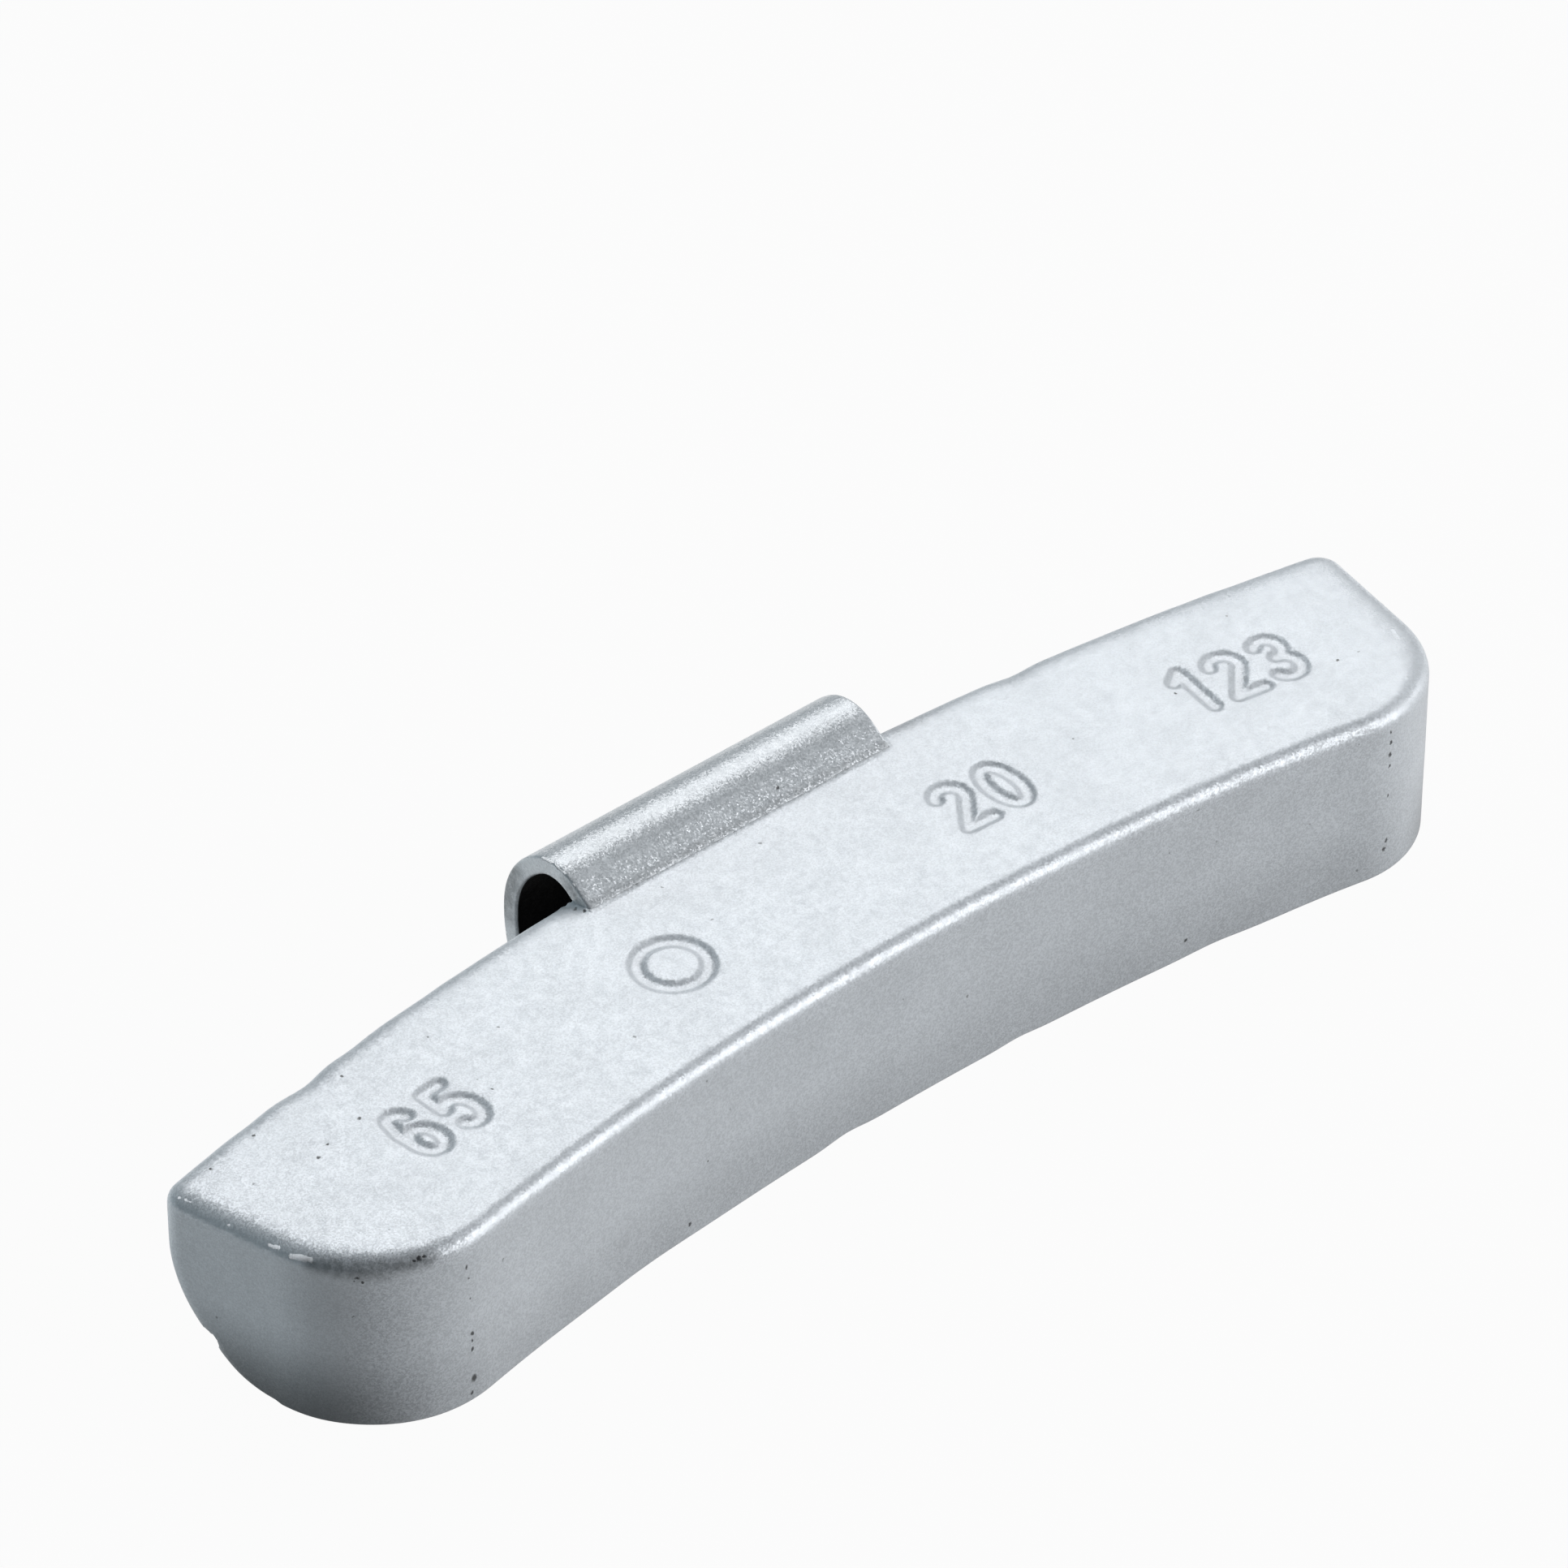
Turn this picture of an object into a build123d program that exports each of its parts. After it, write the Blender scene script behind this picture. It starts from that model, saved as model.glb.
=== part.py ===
"""Clip-on wheel balance weight: a curved zinc casting with a spring-steel clip cast into its top rear edge.

Millimetres, +Z up. X runs along the weight and +Y points away from the wheel axle, towards the rim lip.
The flat underside of the casting lies on Z = 0, and the middle of length and depth is at the origin.
"""
import os
from math import cos, radians, sin, sqrt

from build123d import *

# Casting
back_radius = 174.0       # convex rear face, follows the inside of the rim lip
body_depth = 13.8         # front face to rear face, along a wheel radius
body_height = 10.15       # underside to marked top face
end_half_chord = 38.0     # middle plane to the sharp rear corner
end_slant = 12.2          # end face to middle plane, degrees
front_corner = 6.9        # upright front corners
end_round = 1.3           # edges from the end faces to the rear face and the heel
heel_round = 7.1          # rear lower edge, lies in the bend of the rim flange
top_round = 0.9           # edge around the marked face

# Clip, one bent strip; bend radii are to the middle of the sheet, angles in degrees
clip_width = 19.5
strip = 1.0               # sheet thickness
tang_inset = 2.35         # rear face to the middle of the buried run
tang_bottom = 4.6         # underside of the casting to the lower end of the buried run
tang_top = 8.35           # underside of the casting to the start of the foot bend
foot_bend = 2.0
foot_angle = 55.0
foot_run = 1.1            # straight stretch where the strip leaves the casting
crest_bend = 2.25
crest_angle = 68.0
shoulder_bend = 4.8
shoulder_angle = 52.0
leg_bend = 9.0
leg_angle = 32.0

front_radius = back_radius - body_depth
over = 5.0                # cutters run past the faces they cut


def sharp_plan():
    """Outline of the casting from above, before any corner is rounded, with the wheel axle at the origin."""
    slant = radians(end_slant)
    rear_y = sqrt(back_radius**2 - end_half_chord**2)
    high = back_radius + over
    low = front_radius - 3 * over
    x_high = end_half_chord + (high - rear_y) * sin(slant) / cos(slant)
    x_low = end_half_chord + (low - rear_y) * sin(slant) / cos(slant)
    wedge = Polyline((-x_low, low), (x_low, low), (x_high, high), (-x_high, high), close=True)
    return make_face(wedge) & (Circle(back_radius) - Circle(front_radius))


def heel_cutter():
    """Ring left outside the rounded rear lower edge."""
    edge = back_radius - heel_round
    arc = RadiusArc((edge, 0), (back_radius, heel_round), -heel_round)
    outside = Polyline(
        (back_radius, heel_round),
        (back_radius + over, heel_round),
        (back_radius + over, -over),
        (edge, -over),
        (edge, 0),
    )
    section = Plane.XZ * make_face([arc, outside])
    return revolve(section, Axis.Z)


def rear_end_edges(solid):
    """Edges where each end face meets the rear face and the heel."""
    ends = [face for face in solid.faces().filter_by(GeomType.PLANE) if abs(face.normal_at().X) > 0.5]
    return [edge for end in ends for edge in end.edges().sort_by(Axis.Y)[-2:]]


def strip_side(shift):
    """One face of the strip from buried end to free end, shifted outwards from the middle of the sheet."""
    tang = Line((back_radius - tang_inset - shift, tang_bottom), (back_radius - tang_inset - shift, tang_top))
    foot = JernArc(tang @ 1, tang % 1, foot_bend + shift, -foot_angle)
    run = Line(foot @ 1, foot @ 1 + (foot % 1) * foot_run)
    crest = JernArc(run @ 1, run % 1, crest_bend + shift, -crest_angle)
    shoulder = JernArc(crest @ 1, crest % 1, shoulder_bend + shift, -shoulder_angle)
    leg = JernArc(shoulder @ 1, shoulder % 1, leg_bend + shift, -leg_angle)
    return [tang, foot, run, crest, shoulder, leg]


def clip_solid():
    """The strip drawn across the rim lip and extruded to its width."""
    outer = strip_side(strip / 2)
    inner = strip_side(-strip / 2)
    buried_end = Line(outer[0] @ 0, inner[0] @ 0)
    free_end = Line(outer[-1] @ 1, inner[-1] @ 1)
    profile = make_face([*outer, *inner, buried_end, free_end])
    return extrude(Plane.YZ * profile, amount=clip_width / 2, both=True)


plan = sharp_plan()
outline = fillet(plan.vertices().sort_by(Axis.Y)[:2], radius=front_corner)
clip = clip_solid()
body = extrude(plan, amount=body_height) - heel_cutter()
body = fillet(rear_end_edges(body), radius=end_round)
body = body & extrude(outline, amount=body_height)
body = fillet(body.faces().sort_by(Axis.Z)[-1].edges(), radius=top_round)
body = body - clip

middle_y = (outline.bounding_box().min.Y + clip.bounding_box().max.Y) / 2
to_origin = Pos(0, -middle_y, 0)

os.makedirs("parts", exist_ok=True)
for name, solid in {"weight_body": body, "rim_clip": clip}.items():
    part = to_origin * solid
    part.label = name
    export_step(part, f"parts/{name}.step")
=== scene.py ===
"""Looks of a clip-on wheel balance weight: a silver-coated zinc casting and its spring-steel rim clip."""

from math import acos, atan2, cos, pi, radians, sin, sqrt, tan

import bpy
import numpy as np
from mathutils import Matrix, Vector, noise
from mathutils.geometry import delaunay_2d_cdt

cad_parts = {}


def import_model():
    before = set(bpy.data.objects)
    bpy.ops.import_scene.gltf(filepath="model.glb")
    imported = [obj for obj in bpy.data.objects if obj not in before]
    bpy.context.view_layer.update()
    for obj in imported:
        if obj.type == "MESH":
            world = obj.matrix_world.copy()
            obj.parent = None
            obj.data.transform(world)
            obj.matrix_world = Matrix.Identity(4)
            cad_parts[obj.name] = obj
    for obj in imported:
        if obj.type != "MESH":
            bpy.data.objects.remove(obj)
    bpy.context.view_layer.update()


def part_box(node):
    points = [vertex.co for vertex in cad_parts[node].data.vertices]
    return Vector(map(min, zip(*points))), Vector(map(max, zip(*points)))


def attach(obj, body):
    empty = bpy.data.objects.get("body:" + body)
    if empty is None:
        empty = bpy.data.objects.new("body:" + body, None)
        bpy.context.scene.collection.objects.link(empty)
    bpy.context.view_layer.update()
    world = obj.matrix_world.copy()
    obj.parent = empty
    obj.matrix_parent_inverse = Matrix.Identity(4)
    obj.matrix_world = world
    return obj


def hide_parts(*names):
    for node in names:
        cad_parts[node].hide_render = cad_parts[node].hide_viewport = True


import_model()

MM = 0.001

# Casting, in millimetres, as the CAD model has it
_, body_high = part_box("weight_body")
BODY_HEIGHT = body_high[2] / MM
BACK_RADIUS = 174.0
BODY_DEPTH = 13.8
FRONT_RADIUS = BACK_RADIUS - BODY_DEPTH
AXLE_Y = body_high[1] / MM - BACK_RADIUS
END_ROUND = 1.3
HEEL_ROUND = 7.1
TOP_ROUND = 0.9
REAR_RUNOUT = 0.8          # the coat eases the rear top edge into the face beside the clip
LOWER_CORNER = 0.3         # round of the heel's ends where they meet the underside
LOWER_ROUND = 0.15         # round of the edge along the bottom of the front and the ends

# Ends of the casting as photographed, either side of the CAD model's even ones: half chord, slant, front
# corner and how far the coat eases the top edge into the face
RIGHT_END = (37.8, radians(10.0), 6.5, 1.4)
LEFT_END = (38.2, radians(14.3), 7.25, 0.5)

# Clip, in millimetres, as the CAD model has it
clip_low, clip_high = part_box("rim_clip")
CLIP_WIDTH = (clip_high[0] - clip_low[0]) / MM
STRIP = 1.0
TANG_INSET = 2.35
TANG_BOTTOM = 4.6
TANG_TOP = 8.35
FOOT_RUN = 1.1
CLIP_BENDS = {"foot": (2.0, 55.0), "crest": (2.25, 68.0), "shoulder": (4.8, 52.0), "leg": (9.0, 32.0)}

# Camera, found from the photograph: millimetres, with y from the wheel axle, and pixels of its square frame
CAMERA_AZIMUTH = radians(-41.59)
CAMERA_ELEVATION = radians(37.97)
CAMERA_PLACE = (-215.02, AXLE_Y - 73.39, 267.53)
FOCAL_PIXELS = 10500.0
PHOTO_PIXELS = 1932.0
SENSOR_MM = 36.0

# Steps of the casting's mesh, around half a ring and from the top face down
FRONT_STEPS = 95
CORNER_STEPS = 36
END_STEPS = 26
FILLET_STEPS = 12
REAR_STEPS = 44
CLIP_STEPS = 130
TOP_RINGS = 14
WALL_RINGS = 7
HEEL_RINGS = 52
CLIP_MARGIN = 1.0          # the close steps behind the clip run this far past it
LEAST_FILLET = 0.1         # the rear corners keep at least this round on every ring

# Mesh spacings of the flat faces and the steps of the strip
FACE_SPACING = 0.42
FINE_SPACING = 0.11
UNDERSIDE_SPACING = 1.2
ROW_SHARE = 0.866          # rows of even triangles lie this share of their spacing apart
LOOP_CLEARANCE = 0.6       # share of the spacing that stays free along a loop
BEND_STEPS = 0.7           # steps per degree of a bend
LEAST_BEND_STEPS = 8
CLIP_COLUMNS = 60
SHARP_ANGLE = radians(60.0)


# Shapes


def smooth(value, low, high):
    """0 below low, 1 above high, and a smooth step between."""
    t = np.clip((value - low) / (high - low), 0.0, 1.0)
    return t * t * (3.0 - 2.0 * t)


def wander(points, scale, seed):
    """Smooth noise from -1 to 1 at each point, with features about scale millimetres across."""
    shift = Vector((seed * 17.3, seed * 5.7, seed * 11.9))
    return np.array([noise.noise(Vector(p) / scale + shift) for p in points])


def bumps(along, places):
    """Sum of soft bumps along an edge, each with its place, half width and height."""
    total = np.zeros(len(along))
    for place, width, height in places:
        total += height * np.exp(-(((along - place) / width) ** 2))
    return total


def end_normal(end):
    """Outward normal of an end face, seen from above and taken to be on the right."""
    return np.array((cos(end[1]), -sin(end[1])))


def end_offset_point(end, distance, inset):
    """The point at a distance from the axle and an inset from an end face, axle at the origin."""
    half_chord, slant = end[:2]
    rear = np.array((half_chord, sqrt(BACK_RADIUS**2 - half_chord**2)))
    forward = np.array((-sin(slant), -cos(slant)))
    base = rear - end_normal(end) * inset
    along = base @ forward
    return base + forward * (-along - sqrt(along**2 - base @ base + distance**2))


def arc(radius, angles, centre=(0.0, 0.0)):
    """Points of an arc at the given angles."""
    return np.c_[centre[0] + radius * np.cos(angles), centre[1] + radius * np.sin(angles)]


def span(start, stop, count):
    """Even steps without the last one."""
    return np.linspace(start, stop, count, endpoint=False)


def half_ring(end, height, inset, tilt, corner, foot, ease):
    """Half of a ring of the casting: from the middle of the front, over the right end, to the middle rear.

    The tilt is a quarter turn where the rear wall is upright and 0 where the heel meets the underside.
    The inset pulls the whole ring in at the top edge, and the foot pulls its front in at the lower edge.
    The ease is the share of the coat's run-out that pulls the end and the rear in further.
    """
    normal = end_normal(end)
    normal_angle = atan2(normal[1], normal[0])
    _, _, front_corner, end_runout = end
    front_centre = end_offset_point(end, FRONT_RADIUS + front_corner, front_corner)
    front_angle = atan2(front_centre[1], front_centre[0])
    front_inset = inset + foot
    end_inset = inset + ease * end_runout
    corner_angles = span(front_angle - pi, normal_angle, CORNER_STEPS)
    corner_ease = ease * end_runout * smooth(corner_angles, front_angle - pi, normal_angle)
    front = np.concatenate([
        arc(FRONT_RADIUS + front_inset, span(pi / 2, front_angle, FRONT_STEPS)),
        arc(front_corner - front_inset - corner_ease, corner_angles, front_centre),
    ])
    front = np.c_[front, np.full(len(front), height)]

    corner = max(corner, end_inset + LEAST_FILLET)
    rear_radius = BACK_RADIUS - HEEL_ROUND * (1 - sin(tilt))
    ball = end_offset_point(end, rear_radius - corner * sin(tilt), corner)
    ball_angle = atan2(ball[1], ball[0])
    ball = np.array((*ball, height + corner * cos(tilt)))
    start = np.array((*normal, 0.0))
    stop = np.array((cos(ball_angle) * sin(tilt), sin(ball_angle) * sin(tilt), -cos(tilt)))
    between = acos(start @ stop)
    turns = span(0.0, between, FILLET_STEPS)[:, None]
    side = (start * np.sin(between - turns) + stop * np.sin(turns)) / sin(between)
    fillet = ball + side * (corner - end_inset)

    end_start = np.array((*(front_centre + normal * (front_corner - foot - end_inset)), height))
    face = end_start + (fillet[0] - end_start) * span(0.0, 1.0, END_STEPS)[:, None]

    clip_angle = pi / 2 - (CLIP_WIDTH / 2 + CLIP_MARGIN) / BACK_RADIUS
    rear_angles = np.concatenate([
        span(ball_angle, clip_angle, REAR_STEPS),
        np.linspace(clip_angle, pi / 2, CLIP_STEPS),
    ])
    rear_runout = end_runout + (REAR_RUNOUT - end_runout) * smooth(rear_angles, ball_angle, clip_angle)
    rear = arc(rear_radius - inset - ease * rear_runout, rear_angles)
    rear = np.c_[rear, np.full(len(rear), height)]
    return np.concatenate([front, face, fillet, rear]) + (0.0, AXLE_Y, 0.0)


def ring(*section):
    """One closed ring of the casting."""
    left = half_ring(LEFT_END, *section) * (-1.0, 1.0, 1.0)
    return np.concatenate([half_ring(RIGHT_END, *section), left[-2:0:-1]])


def mesh_object(name, points, faces, slot_shade):
    """A smooth object from points in millimetres; the last argument is 1 where shade is painted darkest in
    the slot under the clip.
    """
    mesh = bpy.data.meshes.new(name)
    mesh.from_pydata((np.asarray(points) * MM).tolist(), [], faces)
    mesh.update()
    mesh.shade_smooth()
    mesh.set_sharp_from_angle(angle=SHARP_ANGLE)
    layer = mesh.attributes.new("slot_shade", "FLOAT", "POINT")
    layer.data.foreach_set("value", np.asarray(slot_shade, dtype=np.float32))
    piece = bpy.data.objects.new(name, mesh)
    bpy.context.collection.objects.link(piece)
    return piece


# Marks sunk into the top face. Their places are along its middle arc and out from its front edge.
MARK_DEPTH = 0.15
MARK_FLOOR = 0.12          # half width of a stroke's floor
MARK_EDGE = 0.60           # half width of a stroke at the face
MARK_REACH = 2.7           # half size of the finer mesh around a mark
NUMERAL = 1.62             # half height of a numeral
ARC_POINTS = 40


def glyph_arc(centre, radii, start, stop):
    """An elliptical stroke, angles in degrees."""
    angles = np.radians(np.linspace(start, stop, ARC_POINTS))
    return np.c_[centre[0] + radii[0] * np.cos(angles), centre[1] + radii[1] * np.sin(angles)]


# Strokes of each mark, in millimetres from its middle


def glyph_zero():
    return [glyph_arc((0.0, 0.0), (0.78, NUMERAL), 0, 360)]


def glyph_one():
    return [np.array([(-0.5, 1.0), (0.15, NUMERAL), (0.15, -NUMERAL)])]


def glyph_two():
    hook = glyph_arc((0.0, 0.84), (0.76, 0.78), 165, -38)
    return [np.concatenate([hook, [(-0.8, -NUMERAL), (0.85, -NUMERAL)]])]


def glyph_three():
    upper = glyph_arc((-0.05, 0.84), (0.68, 0.78), 150, -90)
    lower = glyph_arc((-0.05, -0.78), (0.78, 0.84), 90, -150)
    return [upper, lower]


def glyph_five():
    top = np.array([(0.62, 1.58), (-0.45, 1.6), (-0.6, 0.1)])
    bowl = glyph_arc((-0.02, -0.62), (0.76, 1.0), 130, -140)
    return [top, bowl]


def glyph_six():
    bowl = glyph_arc((0.0, -0.72), (0.68, 0.92), 0, 360)
    back = np.concatenate([glyph_arc((0.05, 0.75), (0.66, 0.9), 30, 120), [(-0.62, 0.5), (-0.68, -0.72)]])
    return [bowl, back]


def glyph_ring():
    return [glyph_arc((0.0, 0.0), (1.75, 1.75), 0, 360)]


# Each mark with its place along and across the face
MARKS = (
    (glyph_six, -26.6, 6.85),
    (glyph_five, -23.95, 6.8),
    (glyph_ring, -9.4, 6.4),
    (glyph_two, 9.3, 6.35),
    (glyph_zero, 12.0, 6.35),
    (glyph_one, 24.3, 7.0),
    (glyph_two, 26.7, 7.0),
    (glyph_three, 29.4, 7.0),
)


def face_place(points):
    """Places along the middle arc and out from the front face, for points in the row frame."""
    from_axle = points[:, :2] - (0.0, AXLE_Y)
    across = np.hypot(from_axle[:, 0], from_axle[:, 1]) - FRONT_RADIUS
    along = np.arctan2(from_axle[:, 0], from_axle[:, 1]) * (FRONT_RADIUS + BODY_DEPTH / 2)
    return np.c_[along, across]


def stroke_distance(places, stroke):
    """Distance from each place to a stroke of straight pieces."""
    best = np.full(len(places), np.inf)
    for a, b in zip(stroke[:-1], stroke[1:]):
        step = b - a
        share = np.clip((places - a) @ step / max(step @ step, 1e-9), 0.0, 1.0)
        gap = places - a - share[:, None] * step
        best = np.minimum(best, np.hypot(gap[:, 0], gap[:, 1]))
    return best


def mark_depth(points):
    """How far the top face is sunk at each point."""
    places = face_place(points)
    nearest = np.full(len(points), np.inf)
    for glyph, along, across in MARKS:
        for stroke in glyph():
            nearest = np.minimum(nearest, stroke_distance(places, stroke + (along, across)))
    return MARK_DEPTH * (1.0 - smooth(nearest, MARK_FLOOR, MARK_EDGE))


def near_mark(places):
    """True for each place close to a mark."""
    close = np.zeros(len(places), dtype=bool)
    for _, along, across in MARKS:
        near_along = np.abs(places[:, 0] - along) < MARK_REACH
        near_across = np.abs(places[:, 1] - across) < MARK_REACH
        close |= near_along & near_across
    return close


# Foot of the clip, where the coat fills the corner between the strip and the top face
FOOT_SLOPE = radians(90.0 - CLIP_BENDS["foot"][1])
FOOT_FILLET = 0.9
FOOT_REACH = FOOT_FILLET * tan(FOOT_SLOPE / 2)
FOOT_STOP = FOOT_REACH * 1.9          # the fillet runs this far and then stays level under the strip
FOOT_FADE = (-0.25, 0.35)             # it fades out across the ends of the clip
FOOT_BAND = FOOT_REACH * 1.1          # half width of the rows of close mesh along it
FOOT_ROWS = 12
FOOT_OVERHANG = 0.7                   # the rows run this far past the clip
FOOT_FINE = (0.8, 1.2)                # fine mesh beside and in front of the foot


def strip_path(shift):
    """One face of the strip from its buried end to its free end, as points of y and z."""
    place = np.array((AXLE_Y + BACK_RADIUS - TANG_INSET, TANG_BOTTOM))
    heading = pi / 2
    left = np.array((-1.0, 0.0))
    points = [place + left * shift]
    place = np.array((place[0], TANG_TOP))
    points += [place + left * shift]
    for name, (radius, sweep) in CLIP_BENDS.items():
        centre = place + radius * np.array((sin(heading), -cos(heading)))
        steps = max(LEAST_BEND_STEPS, int(sweep * BEND_STEPS))
        for turned in np.radians(np.linspace(0.0, sweep, steps))[1:]:
            out = np.array((-sin(heading - turned), cos(heading - turned)))
            points.append(centre + out * (radius + shift))
        heading -= radians(sweep)
        place = centre + np.array((-sin(heading), cos(heading))) * radius
        if name == "foot":
            place = place + np.array((cos(heading), sin(heading))) * FOOT_RUN
            points.append(place + np.array((-sin(heading), cos(heading))) * shift)
    return np.array(points)


def foot_line():
    """Where the upper face of the strip leaves the top face, in y."""
    path = strip_path(STRIP / 2)
    after = np.argmax(path[:, 1] > BODY_HEIGHT)
    low, high = path[after - 1], path[after]
    share = (BODY_HEIGHT - low[1]) / (high[1] - low[1])
    return low[0] + (high[0] - low[0]) * share


def foot_rise(points):
    """How far the coat rises above the top face along the foot of the clip."""
    run = np.clip(points[:, 1] - (foot_line() - FOOT_REACH), 0.0, FOOT_STOP)
    rise = FOOT_FILLET - np.sqrt(np.maximum(FOOT_FILLET**2 - run**2, 0.0))
    past_clip = np.abs(points[:, 0]) - CLIP_WIDTH / 2
    return rise * (1.0 - smooth(past_clip, *FOOT_FADE))


def grid_over(low, high, spacing):
    """A staggered grid over a box."""
    xs = np.arange(low[0], high[0], spacing)
    ys = np.arange(low[1], high[1], spacing * ROW_SHARE)
    grid_x, grid_y = np.meshgrid(xs, ys)
    grid_x[1::2] += spacing / 2
    return np.c_[grid_x.ravel(), grid_y.ravel()]


def encircled(points, loop):
    """True for each point that a loop goes around, by counting crossings to the right."""
    odd = np.zeros(len(points), dtype=bool)
    for a, b in zip(loop, np.roll(loop, -1, axis=0)):
        if a[1] == b[1]:
            continue
        spans = (a[1] > points[:, 1]) != (b[1] > points[:, 1])
        cross = a[0] + (points[:, 1] - a[1]) / (b[1] - a[1]) * (b[0] - a[0])
        odd ^= spans & (points[:, 0] < cross)
    return odd


def clear_of(points, loop, margin):
    """True for each point inside a loop and at least a margin from its points."""
    clear = encircled(points, loop)
    batch = 2000
    for start in range(0, len(points), batch):
        part = slice(start, start + batch)
        gaps = points[part, None, :] - loop[None, :, :]
        clear[part] &= np.hypot(gaps[..., 0], gaps[..., 1]).min(axis=1) > margin
    return clear


def foot_rows(spacing):
    """Rows of points along the foot of the clip, close together across its fillet."""
    half = CLIP_WIDTH / 2 + FOOT_OVERHANG
    xs = np.arange(-half, half, spacing)
    ys = foot_line() + np.linspace(-FOOT_BAND, FOOT_BAND, FOOT_ROWS)
    grid_x, grid_y = np.meshgrid(xs, ys)
    return np.c_[grid_x.ravel(), grid_y.ravel()]


def cap(loop, level, spacing, fine_spacing):
    """A filled loop: points inside it on a grid, finer at the marks and the clip, and its triangles."""
    low, high = loop.min(axis=0), loop.max(axis=0)
    points = grid_over(low, high, spacing)
    if fine_spacing:
        fine = grid_over(low, high, fine_spacing)
        beside, before = FOOT_FINE
        foot = (fine[:, 1] > foot_line() - before) & (np.abs(fine[:, 0]) < CLIP_WIDTH / 2 + beside)
        fillet = np.abs(fine[:, 1] - foot_line()) < FOOT_BAND + fine_spacing / 2
        points = np.concatenate([
            points[~near_mark(face_place(points))],
            fine[near_mark(face_place(fine)) | (foot & ~fillet)],
            foot_rows(fine_spacing),
        ])
    points = points[clear_of(points, loop, spacing * LOOP_CLEARANCE)]
    count = len(loop)
    edges = [(i, (i + 1) % count) for i in range(count)]
    flat = [Vector(p) for p in np.concatenate([loop, points])]
    verts, _, faces, _, _, _ = delaunay_2d_cdt(flat, edges, [], 1, 1e-7)
    inner = np.array([(v.x, v.y, level) for v in verts[count:]]).reshape(-1, 3)
    return inner, [list(f) for f in faces]


# Faults of the casting's edges: places along the edge, half widths and heights
FRONT_EDGE_LIFTS = (
    (-36.4, 2.6, 0.13),
    (-26.0, 5.0, 0.09),
    (-18.0, 3.5, 0.14),
    (-3.8, 1.4, 0.19),
    (7.9, 1.3, 0.12),
    (20.8, 1.9, 0.12),
    (28.5, 4.0, 0.07),
)
LEFT_EDGE_LIFTS = ((7.8, 2.4, 0.27),)
REAR_EDGE_DIPS = ((-27.0, 1.2, 0.16), (-24.0, 1.0, 0.05), (18.0, 0.9, 0.12), (32.0, 1.2, 0.03))
REAR_WANDER = 0.03
BURR = 0.42                # rough lip of the casting inside the clip
SWAY = 0.03                # slow waves of the walls
NICK_PLACE = (-37.3, -0.85, 2.2)
NICK_DEPTH = 0.42
NICK_SIZE = 0.75
NICK_PUSH = np.array((0.62, -0.45, 0.64))

# Where the faults fade: heights, places along the weight and distances from its front face
LOWER_EDGE = (0.0, 1.8)
FRONT_PART = (3.0, 8.0)
LEFT_PART = (33.0, 36.0)
REAR_PART = (11.8, 13.3)
UPPER_EDGE = (7.5, 9.4)
WALL_FOOT = (0.3, 1.5)
WALL_TOP = (8.6, 9.4)
CLIP_FADE = (-0.1, 0.8)


def roughened(points):
    """The casting's points moved by its small faults."""
    places = face_place(points)
    along, across, height = places[:, 0], places[:, 1], points[:, 2]
    from_axle = points - (0.0, AXLE_Y, 0.0)
    outward = from_axle * (1.0, 1.0, 0.0)
    outward /= np.hypot(outward[:, 0], outward[:, 1])[:, None]

    low = 1.0 - smooth(height, *LOWER_EDGE)
    lift = bumps(along, FRONT_EDGE_LIFTS) * (1.0 - smooth(across, *FRONT_PART)) * low
    lift += bumps(across, LEFT_EDGE_LIFTS) * smooth(-along, *LEFT_PART) * low

    high_rear = smooth(across, *REAR_PART) * smooth(height, *UPPER_EDGE)
    uneven = REAR_WANDER * wander(points * (1.0, 1.0, 0.3), 1.6, seed=3)
    dip = (bumps(along, REAR_EDGE_DIPS) + uneven) * high_rear
    inside_clip = 1.0 - smooth(np.abs(points[:, 0]) - CLIP_WIDTH / 2, *CLIP_FADE)
    burr = BURR * wander(points, 0.34, seed=5) * inside_clip * high_rear

    wall = smooth(height, *WALL_FOOT) * (1.0 - smooth(height, *WALL_TOP))
    sway = SWAY * wander(points, 4.0, seed=1) * wall

    gap = np.linalg.norm((points - NICK_PLACE) * (1.0, 1.0, 1.3), axis=1)
    nick = NICK_DEPTH * (1.0 - smooth(gap, NICK_SIZE / 2, NICK_SIZE))
    nick *= 1.0 + 0.5 * wander(points, 0.4, seed=9)

    moved = points + outward * (sway + burr - dip)[:, None]
    moved[:, 2] += lift - 0.4 * dip + 0.5 * burr
    return moved + nick[:, None] * NICK_PUSH


def body_rings():
    """Each ring of the casting from the top face down."""
    rings = []
    upright = pi / 2
    for turn in np.linspace(0.0, upright, TOP_RINGS):
        height = BODY_HEIGHT - TOP_ROUND * (1 - cos(turn))
        ease = (1 - turn / upright) ** 3
        rings.append(ring(height, TOP_ROUND * (1 - sin(turn)), upright, END_ROUND, 0.0, ease))
    for height in np.linspace(BODY_HEIGHT - TOP_ROUND, HEEL_ROUND, WALL_RINGS)[1:-1]:
        rings.append(ring(height, 0.0, upright, END_ROUND, 0.0, 0.0))
    for tilt in np.radians(np.linspace(90.0, 0.0, HEEL_RINGS)):
        height = HEEL_ROUND * (1 - cos(tilt))
        growth = float(smooth(tilt, radians(8.0), radians(45.0)))
        corner = LOWER_CORNER + (END_ROUND - LOWER_CORNER) * growth
        share = max(0.0, 1.0 - height / LOWER_ROUND)
        foot = LOWER_ROUND * (1.0 - sqrt(1.0 - share**2))
        rings.append(ring(height, 0.0, tilt, corner, foot, 0.0))
    return rings
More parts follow.
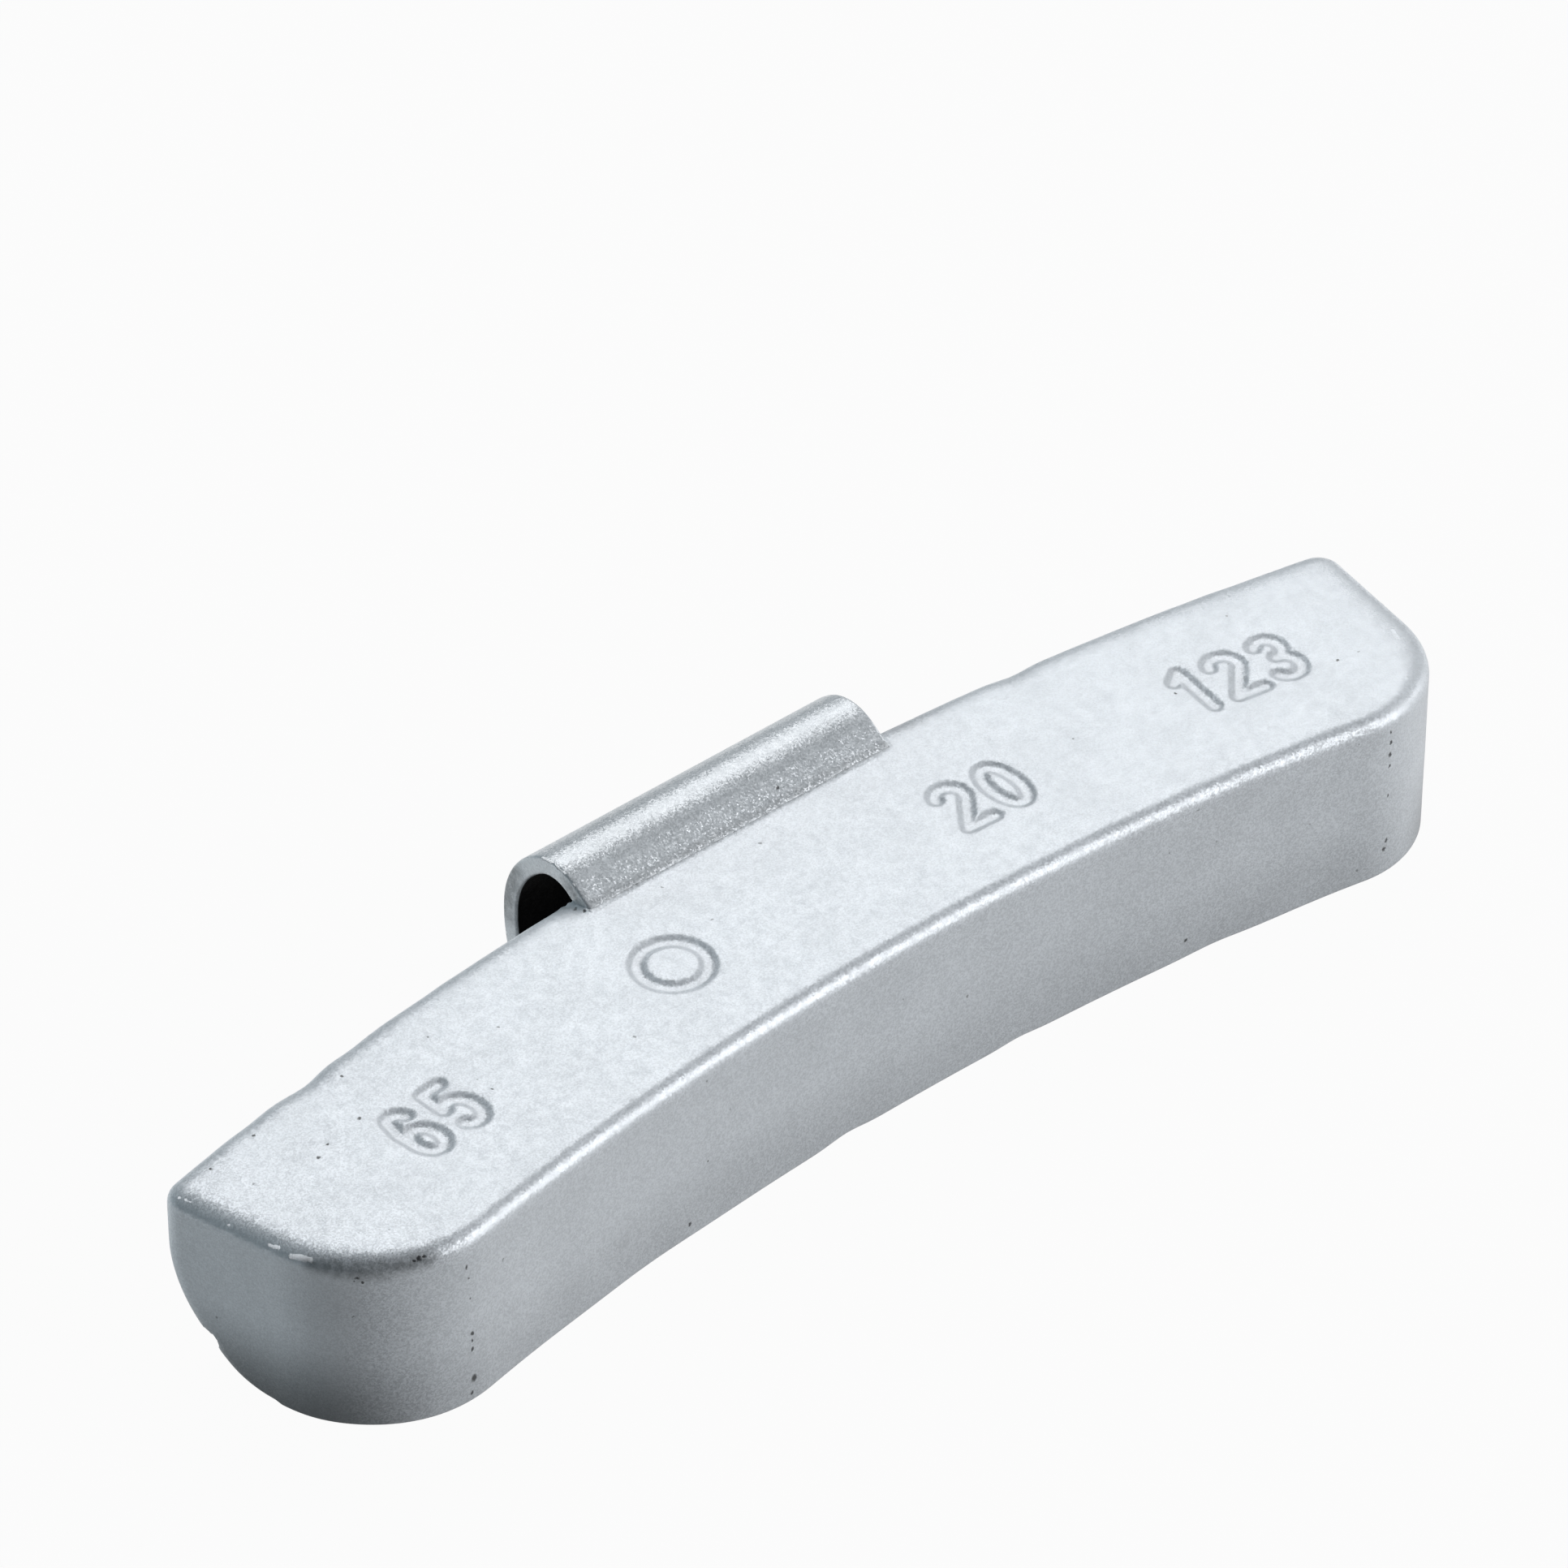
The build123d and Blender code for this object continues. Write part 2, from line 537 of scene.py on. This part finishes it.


# Painted shade in the slot under the clip, darkest on its left
SLOT_SHADE_EASE = 0.45           # share of the painted shade taken off towards the right
SLOT_EASE_PART = (1.0, 8.0)
SLOT_WALL = (13.0, 13.6)   # rear wall of the casting, from its front face
SLOT_MARGIN = 0.2          # the painted shade on the wall ends this far inside the clip


def slot_shade_share(x):
    """Share of the painted shade in the slot under the clip, less towards the right."""
    return 1.0 - SLOT_SHADE_EASE * smooth(x, *SLOT_EASE_PART)


def build_body():
    """The casting as one closed skin: a capped stack of rings."""
    rings = body_rings()
    count = len(rings[0])
    points = [np.concatenate(rings)]
    faces = []
    for level in range(len(rings) - 1):
        upper, lower = level * count, (level + 1) * count
        for i in range(count):
            j = (i + 1) % count
            faces.append([upper + j, upper + i, lower + i, lower + j])
    total = len(points[0])
    inner, top = cap(rings[0][:, :2], BODY_HEIGHT, FACE_SPACING, FINE_SPACING)
    faces += [[v if v < count else v - count + total for v in f] for f in top]
    points.append(inner)
    total += len(inner)
    base = (len(rings) - 1) * count
    inner, under = cap(rings[-1][:, :2], 0.0, UNDERSIDE_SPACING, None)
    faces += [[base + v if v < count else v - count + total for v in f][::-1] for f in under]
    points.append(inner)
    points = np.concatenate(points)
    top_points = points[:, 2] > BODY_HEIGHT - 0.02
    top_level = foot_rise(points[top_points]) - mark_depth(points[top_points])
    # Painted shade on the casting's rear wall inside the clip's slot, less towards the right
    in_slot = np.abs(points[:, 0]) < CLIP_WIDTH / 2 - SLOT_MARGIN
    slot_shade = smooth(face_place(points)[:, 1], *SLOT_WALL) * in_slot * slot_shade_share(points[:, 0])
    points[top_points, 2] += top_level
    return mesh_object("cast_body", roughened(points), faces, slot_shade)


# Round of the clip's sheared edges
SHEAR_ROUND = 0.16
SHEAR_STEPS = 5


def clip_columns():
    """Places across the clip, each with half the thickness of the strip there."""
    flat = CLIP_WIDTH / 2 - SHEAR_ROUND
    sides = []
    for turn in np.radians(np.linspace(0.0, 90.0, SHEAR_STEPS)):
        sides.append((-flat - SHEAR_ROUND * cos(turn), STRIP / 2 - SHEAR_ROUND * (1 - sin(turn))))
    middle = [(x, STRIP / 2) for x in np.linspace(-flat, flat, CLIP_COLUMNS)[1:-1]]
    return sides + middle + [(-x, half) for x, half in reversed(sides)]


def build_clip():
    """The bent strip, with its cut edges slightly rounded."""
    columns = clip_columns()
    loops = []
    for x, half in columns:
        loop = np.concatenate([strip_path(half), strip_path(-half)[::-1]])
        loops.append(np.c_[np.full(len(loop), x), loop])
    count = len(loops[0])
    faces = []
    for column in range(len(loops) - 1):
        a, b = column * count, (column + 1) * count
        for i in range(count):
            j = (i + 1) % count
            faces.append([a + i, a + j, b + j, b + i])
    last = (len(loops) - 1) * count
    for i in range(count // 2 - 1):
        k = count - 1 - i
        faces.append([i, k, k - 1, i + 1])
        faces.append([last + i + 1, last + k - 1, last + k, last + i])
    # Painted shade on the strip's inner face in the slot, less towards the right, and none on its rounded
    # cut edges
    inside = np.r_[np.zeros(count // 2), np.ones(count // 2)]
    slot_shade = np.array([inside * slot_shade_share(x) for x, _ in columns])
    slot_shade[:SHEAR_STEPS - 1] = 0.0
    slot_shade[1 - SHEAR_STEPS:] = 0.0
    return mesh_object("clip_strip", np.concatenate(loops), faces, slot_shade.ravel())


# Materials

# Dark pits of the top face: x, y and radius, in millimetres
TOP_PITS = (
    (-35.28, 1.14, 0.14),
    (-31.03, -1.56, 0.12),
    (-27.81, -0.64, 0.14),
    (-32.27, 1.67, 0.10),
    (-26.49, 2.29, 0.09),
    (-30.10, -1.11, 0.08),
    (-21.79, -3.14, 0.10),
    (31.30, -5.67, 0.13),
    (23.33, -2.26, 0.12),
    (-10.12, 4.60, 0.16),
    (-9.90, 4.10, 0.14),
)

# Dark pits of the casting's edges and walls: place, radius and upward stretch
SIDE_PITS = (
    ((-31.86, -9.86, 9.82), 0.17, 1.0),
    ((-31.58, -9.92, 9.85), 0.14, 1.0),
    ((-32.10, -9.80, 9.80), 0.10, 1.0),
    ((-34.41, -8.53, 9.25), 0.12, 1.0),
    ((-34.25, -8.68, 9.01), 0.10, 1.0),
    ((-34.50, -8.40, 9.05), 0.08, 1.0),
    ((-29.57, -10.48, 8.41), 0.09, 2.5),
    ((-29.49, -10.48, 7.67), 0.08, 2.0),
    ((-29.39, -10.49, 6.36), 0.07, 1.5),
    ((-29.35, -10.48, 4.18), 0.11, 1.6),
    ((-29.37, -10.48, 3.74), 0.08, 2.0),
    ((-29.38, -10.49, 3.20), 0.11, 1.8),
    ((-29.33, -10.48, 1.40), 0.22, 1.5),
    ((-29.46, -10.48, 0.56), 0.12, 1.5),
    ((30.19, -10.62, 9.03), 0.10, 1.4),
    ((30.24, -10.62, 8.34), 0.12, 1.5),
    ((30.22, -10.62, 7.58), 0.14, 1.6),
    ((30.21, -10.62, 6.87), 0.11, 1.4),
    ((30.21, -10.62, 5.02), 0.09, 1.8),
    ((30.27, -10.62, 2.15), 0.13, 1.4),
    ((30.13, -10.62, 1.65), 0.16, 1.2),
    ((18.05, -8.89, 1.17), 0.16, 1.0),
    ((-13.02, -8.40, 4.08), 0.09, 1.0),
    ((-14.27, -8.51, 0.94), 0.15, 1.0),
)
BODY_PITS = tuple(((x, y, BODY_HEIGHT), radius, 1.0) for x, y, radius in TOP_PITS) + SIDE_PITS

# A dark speck on the clip
CLIP_PITS = (((2.98, 4.60, 10.75), 0.14, 1.0),)

# Bright chips where the coat is knocked off the top edge: two ends and a half width
BODY_CHIPS = (
    ((-37.53, 0.74, 9.98), (-37.27, -0.03, 10.05), 0.07),
    ((-37.00, -2.20, 9.90), (-36.97, -2.30, 9.90), 0.09),
    ((-36.40, -4.55, 9.83), (-36.25, -5.00, 9.87), 0.12),
    ((-36.09, -5.79, 9.75), (-35.64, -6.62, 9.84), 0.17),
    ((35.13, -5.72, 10.15), (34.88, -6.32, 10.15), 0.14),
)

# The same on the upper left edge of the clip, where it was sheared
CLIP_CHIPS = (
    ((-9.72, 7.45, 11.40), (-9.72, 6.70, 11.53), 0.10),
    ((-9.72, 6.50, 11.52), (-9.72, 5.80, 11.40), 0.09),
    ((-9.72, 5.20, 11.13), (-9.72, 4.95, 10.98), 0.07),
)

# Painted shade on the casting: dark streaks along the left front corner's top edge and in the crease at the
# clip's foot; two ends and a half width
BODY_SHADE_STREAKS = (
    ((-35.70, -6.70, 9.68), (-34.97, -7.71, 9.68), 0.70),
    ((-34.97, -7.71, 9.68), (-34.19, -8.52, 9.65), 0.85),
    ((-34.19, -8.52, 9.65), (-33.15, -9.31, 9.65), 0.90),
    ((-33.15, -9.31, 9.65), (-31.40, -10.05, 9.72), 0.70),
    ((-9.60, 4.00, 10.25), (9.60, 4.00, 10.25), 0.22),
)
# Painted shade on the clip: on its left end face and along its foot; two ends and a half width
CLIP_SHADE_STREAKS = (
    ((-9.9, 5.60, 10.80), (-9.9, 4.20, 9.95), 0.80),
    ((-9.9, 9.70, 9.20), (-9.9, 10.40, 6.50), 1.40),
    ((-9.6, 4.25, 10.17), (9.6, 4.25, 10.17), 0.45),
)


def node(tree, kind, inputs, **settings):
    """A shader node with its settings; each input is a value or the socket that feeds it."""
    made = tree.nodes.new("ShaderNode" + kind)
    for name, value in settings.items():
        setattr(made, name, value)
    for name, value in inputs.items():
        if isinstance(value, bpy.types.NodeSocket):
            tree.links.new(value, made.inputs[name])
        else:
            made.inputs[name].default_value = value
    return made


def calc(tree, operation, a, b=0.0):
    """The result of a sum on two numbers."""
    return node(tree, "Math", {0: a, 1: b}, operation=operation).outputs[0]


def vector(tree, operation, a, b):
    """The result of a sum on two vectors, or of a scaling of the first by a number."""
    second = "Scale" if operation == "SCALE" else 1
    return node(tree, "VectorMath", {0: a, second: b}, operation=operation).outputs["Vector"]


def spread(tree, value, low, high, to_low, to_high):
    """A number moved from one range to another, smoothly and within it."""
    inputs = {"Value": value, "From Min": low, "From Max": high, "To Min": to_low, "To Max": to_high}
    return node(tree, "MapRange", inputs, interpolation_type="SMOOTHSTEP").outputs["Result"]


def length(tree, value):
    """The length of a vector."""
    return node(tree, "VectorMath", {0: value}, operation="LENGTH").outputs["Value"]


def pit_mask(tree, place, pits):
    """1 inside any of the listed pits."""
    mask = calc(tree, "ADD", 0.0, 0.0)
    for middle, radius, stretch in pits:
        gap = vector(tree, "SUBTRACT", place, middle)
        gap = vector(tree, "MULTIPLY", gap, (1.0, 1.0, 1.0 / stretch))
        mask = calc(tree, "MAXIMUM", mask, spread(tree, length(tree, gap), radius * 0.4, radius, 1.0, 0.0))
    return mask


def streak_mask(tree, place, streaks, core):
    """1 along any of the listed chips or painted shade streaks, easing to 0 between a share of their half
    width and all.
    """
    mask = calc(tree, "ADD", 0.0, 0.0)
    for start, stop, width in streaks:
        step = Vector(stop) - Vector(start)
        gap = vector(tree, "SUBTRACT", place, start)
        along = node(tree, "VectorMath", {0: gap, 1: step / step.length_squared}, operation="DOT_PRODUCT")
        share = node(tree, "Clamp", {"Value": along.outputs["Value"]}).outputs[0]
        gap = vector(tree, "SUBTRACT", gap, vector(tree, "SCALE", step, share))
        mask = calc(tree, "MAXIMUM", mask, spread(tree, length(tree, gap), width * core, width, 1.0, 0.0))
    return mask


def remaining(tree, lost, share=1.0):
    """What is left of 1 when a share of a mask is taken away."""
    return calc(tree, "SUBTRACT", 1.0, calc(tree, "MULTIPLY", lost, share))


def centred(tree, colour, scale):
    """A random colour as a vector around zero."""
    return vector(tree, "SCALE", vector(tree, "SUBTRACT", colour, (0.5, 0.5, 0.5)), scale)


def ragged_place(tree, place):
    """Places moved a little by noise, which gives the faults uneven edges."""
    jitter = node(tree, "TexNoise", {"Vector": place, "Scale": 5.0}).outputs["Color"]
    return vector(tree, "ADD", place, centred(tree, jitter, 0.22))


def stray_pit_mask(tree, place, strength):
    """Small pits strewn over the coat, of uneven size and with many left out."""
    cells = node(tree, "TexVoronoi", {"Vector": place, "Scale": 0.7})
    size = node(tree, "SeparateColor", {"Color": cells.outputs["Color"]}).outputs["Red"]
    reach = spread(tree, size, 0.35, 1.0, 0.0, 0.075)
    gap = calc(tree, "SUBTRACT", cells.outputs["Distance"], reach)
    return spread(tree, gap, -0.025, 0.0, strength, 0.0)


def painted_shade_mask(tree, place, low_wall_shade):
    """Painted shade: darker low on the ends and walls, on faces that look down and at the very bottom."""
    facing = node(tree, "SeparateXYZ", {"Vector": node(tree, "NewGeometry", {}).outputs["Normal"]}).outputs
    high = node(tree, "SeparateXYZ", {"Vector": place}).outputs["Z"]
    sideways = calc(tree, "MAXIMUM", calc(tree, "ABSOLUTE", facing["X"]), 0.25)
    on_walls = calc(tree, "MULTIPLY", sideways, spread(tree, high, 0.0, 5.5, low_wall_shade, 0.0))
    facing_down = spread(tree, facing["Z"], -0.8, 0.05, 0.45, 0.0)
    at_bottom = spread(tree, high, 0.0, 0.3, 0.35, 0.0)
    return calc(tree, "MAXIMUM", on_walls, calc(tree, "MAXIMUM", facing_down, at_bottom))


def coat_normal(tree, flakes, flake, chip, height):
    """The surface's normal with tilted flakes, chips that look up, fine grain and sunk pits."""
    normal = node(tree, "NewGeometry", {}).outputs["Normal"]
    normal = vector(tree, "ADD", normal, centred(tree, flakes, flake))
    normal = vector(tree, "ADD", normal, vector(tree, "SCALE", (0.0, 0.0, 8.0), chip))
    normal = vector(tree, "NORMALIZE", normal, (0.0, 0.0, 0.0))
    bump = node(tree, "Bump", {"Strength": 0.5, "Distance": 0.012 * MM, "Height": height, "Normal": normal})
    return bump.outputs["Normal"]


def silver_coat(name, colour, metal, rough, flake, stray_pits, low_wall_shade, pits, chips, shade_streaks):
    """A metallic coat: tilted flakes, mottling, fine grain, stray pits and the listed faults, with painted
    shade low on the walls, on undersides, along the bottom, in the listed streaks and in the slot under the
    clip.
    """
    material = bpy.data.materials.new(name)
    material.use_nodes = True
    tree = material.node_tree
    shader = tree.nodes["Principled BSDF"]
    place = vector(tree, "SCALE", node(tree, "TexCoord", {}).outputs["Object"], 1.0 / MM)
    ragged = ragged_place(tree, place)
    # Painted shade of the slot under the clip, kept on the mesh
    slot_shade = node(tree, "Attribute", {}, attribute_name="slot_shade").outputs["Fac"]

    flakes = node(tree, "TexVoronoi", {"Vector": place, "Scale": 13.0}).outputs["Color"]
    flake_tone = node(tree, "SeparateColor", {"Color": flakes}).outputs["Red"]
    mottle = node(tree, "TexNoise", {"Vector": place, "Scale": 0.3, "Detail": 4.0}).outputs["Fac"]
    grain = node(tree, "TexNoise", {"Vector": place, "Scale": 2.2, "Detail": 3.0}).outputs["Fac"]

    pit = calc(tree, "MAXIMUM", stray_pit_mask(tree, ragged, stray_pits), pit_mask(tree, ragged, pits))
    chip = streak_mask(tree, ragged, chips, 0.5)
    # Painted shade: the listed streaks, broken up by grain, joined with the shade low on the walls, on
    # undersides and along the bottom
    painted_streaks = streak_mask(tree, ragged, shade_streaks, 0.0)
    painted_streaks = calc(tree, "MULTIPLY", painted_streaks, spread(tree, grain, 0.3, 0.65, 0.35, 0.6))
    painted_shade = calc(tree, "MAXIMUM", painted_shade_mask(tree, place, low_wall_shade), painted_streaks)

    tone = spread(tree, mottle, 0.3, 0.7, 0.97, 1.03)
    tone = calc(tree, "MULTIPLY", tone, spread(tree, flake_tone, 0.0, 1.0, 0.91, 1.08))
    tone = calc(tree, "MULTIPLY", tone, remaining(tree, pit, 0.88))
    # Painted shade of the slot under the clip: darker here, and fully metallic and rougher below
    tone = calc(tree, "MULTIPLY", tone, remaining(tree, slot_shade, 0.992))
    tone = calc(tree, "MULTIPLY", tone, remaining(tree, painted_shade))
    tree.links.new(vector(tree, "SCALE", colour, tone), shader.inputs["Base Color"])

    # Less metal at the pits and where shade is painted
    unpitted_unshaded = remaining(tree, calc(tree, "MAXIMUM", pit, painted_shade))
    metallic = calc(tree, "MAXIMUM", calc(tree, "MULTIPLY", unpitted_unshaded, metal), slot_shade)
    tree.links.new(metallic, shader.inputs["Metallic"])
    gloss = calc(tree, "ADD", rough, spread(tree, grain, 0.3, 0.7, -0.04, 0.05))
    gloss = calc(tree, "ADD", gloss, calc(tree, "MULTIPLY", slot_shade, 0.5))
    tree.links.new(gloss, shader.inputs["Roughness"])

    height = calc(tree, "SUBTRACT", grain, calc(tree, "MULTIPLY", pit, 1.5))
    tree.links.new(coat_normal(tree, flakes, flake, chip, height), shader.inputs["Normal"])
    return material


body = build_body()
body.data.materials.append(silver_coat(
    "body_coat",
    colour=(0.745, 0.78, 0.82),
    metal=0.20,
    rough=0.36,
    flake=0.17,
    stray_pits=0.55,
    # painted shade low on the ends and walls
    low_wall_shade=0.76,
    pits=BODY_PITS,
    chips=BODY_CHIPS,
    shade_streaks=BODY_SHADE_STREAKS,
))
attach(body, "root")
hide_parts("weight_body")

clip = build_clip()
clip.data.materials.append(silver_coat(
    "clip_coat",
    colour=(0.69, 0.72, 0.75),
    metal=0.24,
    rough=0.30,
    flake=0.23,
    stray_pits=0.0,
    low_wall_shade=0.0,
    pits=CLIP_PITS,
    chips=CLIP_CHIPS,
    shade_streaks=CLIP_SHADE_STREAKS,
))
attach(clip, "root")
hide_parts("rim_clip")


# Stage

FLOOR_SIZE = 4.0
FLOOR_ALBEDO = 0.3
FLOOR_WHITE = 0.96          # brightness to the camera
FLOOR_REFLECTED = 0.45      # brightness in reflections
FLOOR_BEHIND = 0.95         # brightness in reflections of the strip of floor close behind the object
BEHIND_START = (0.008, 0.014)    # where that strip fades in, in metres behind the middle
BEHIND_STOP = (0.035, 0.070)     # and where it fades out
SURROUNDINGS = (0.034, 0.050, 0.060, 1.0)


def seen_directly(tree, by_camera, by_reflection):
    """Shares for camera rays and for glossy and transmission rays, and 0 for the light on the object."""
    path = node(tree, "LightPath", {}).outputs
    reflected = calc(tree, "MAXIMUM", path["Is Glossy Ray"], path["Is Transmission Ray"])
    return calc(
        tree,
        "MAXIMUM",
        calc(tree, "MULTIPLY", path["Is Camera Ray"], by_camera),
        calc(tree, "MULTIPLY", reflected, by_reflection),
    )


def floor():
    """A plain floor that is white to the camera and in reflections, and keeps the object's shadow."""
    bpy.ops.mesh.primitive_plane_add(size=FLOOR_SIZE)
    plane = bpy.context.object
    plane.name = "floor"
    material = bpy.data.materials.new("floor_white")
    material.use_nodes = True
    tree = material.node_tree
    shader = tree.nodes["Principled BSDF"]
    shader.inputs["Base Color"].default_value = (FLOOR_ALBEDO, FLOOR_ALBEDO, FLOOR_ALBEDO, 1.0)
    shader.inputs["Roughness"].default_value = 0.9
    shader.inputs["Specular IOR Level"].default_value = 0.0
    white = node(tree, "Emission", {})
    behind = node(tree, "SeparateXYZ", {"Vector": node(tree, "TexCoord", {}).outputs["Object"]}).outputs["Y"]
    near = spread(tree, behind, *BEHIND_START, FLOOR_REFLECTED, FLOOR_BEHIND)
    far = spread(tree, behind, *BEHIND_STOP, FLOOR_BEHIND, FLOOR_REFLECTED)
    share = seen_directly(tree, FLOOR_WHITE, calc(tree, "MINIMUM", near, far))
    mix = node(tree, "MixShader", {0: share, 1: shader.outputs[0], 2: white.outputs[0]})
    tree.links.new(mix.outputs[0], tree.nodes["Material Output"].inputs["Surface"])
    plane.data.materials.append(material)


def softbox(name, place, width, height, power, colour=(1.0, 1.0, 1.0)):
    """An upright area lamp that faces the object."""
    lamp = bpy.data.lights.new(name, "AREA")
    lamp.shape = "RECTANGLE"
    lamp.size = width
    lamp.size_y = height
    lamp.energy = power
    lamp.color = colour
    holder = bpy.data.objects.new(name, lamp)
    holder.location = place
    holder.rotation_euler = (-Vector(place)).to_track_quat("-Z", "Y").to_euler()
    bpy.context.collection.objects.link(holder)
    return holder


def camera():
    """The photograph's camera."""
    lens = bpy.data.cameras.new("camera")
    lens.sensor_width = SENSOR_MM
    lens.lens = FOCAL_PIXELS / PHOTO_PIXELS * SENSOR_MM
    lens.clip_start = 0.01
    holder = bpy.data.objects.new("camera", lens)
    right = Vector((cos(CAMERA_AZIMUTH), sin(CAMERA_AZIMUTH), 0.0))
    forward = Vector((
        -sin(CAMERA_AZIMUTH) * cos(CAMERA_ELEVATION),
        cos(CAMERA_AZIMUTH) * cos(CAMERA_ELEVATION),
        -sin(CAMERA_ELEVATION),
    ))
    up = right.cross(forward)
    turn = Matrix((right, up, -forward)).transposed().to_4x4()
    holder.matrix_world = Matrix.Translation(Vector(CAMERA_PLACE) * MM) @ turn
    bpy.context.collection.objects.link(holder)
    bpy.context.scene.camera = holder


def world():
    """Plain dark surroundings."""
    surroundings = bpy.data.worlds.new("surroundings")
    surroundings.use_nodes = True
    background = surroundings.node_tree.nodes["Background"]
    background.inputs["Color"].default_value = SURROUNDINGS
    bpy.context.scene.world = surroundings


floor()
softbox("back_right", place=(0.45, 0.49, 0.66), width=0.55, height=0.75, power=3.9)
softbox("front_right", place=(0.338, -0.465, 0.235), width=0.38, height=0.43, power=2.5)
softbox("right", place=(0.90, -0.22, 0.30), width=0.35, height=0.40, power=1.2)
fill = softbox(
    "back_left",
    place=(-0.61, 0.72, 0.14),
    width=0.40,
    height=0.25,
    power=3.7,
    colour=(0.84, 0.96, 1.0),
)
fill.visible_glossy = False
camera()
world()
bpy.context.scene.view_settings.view_transform = "Standard"
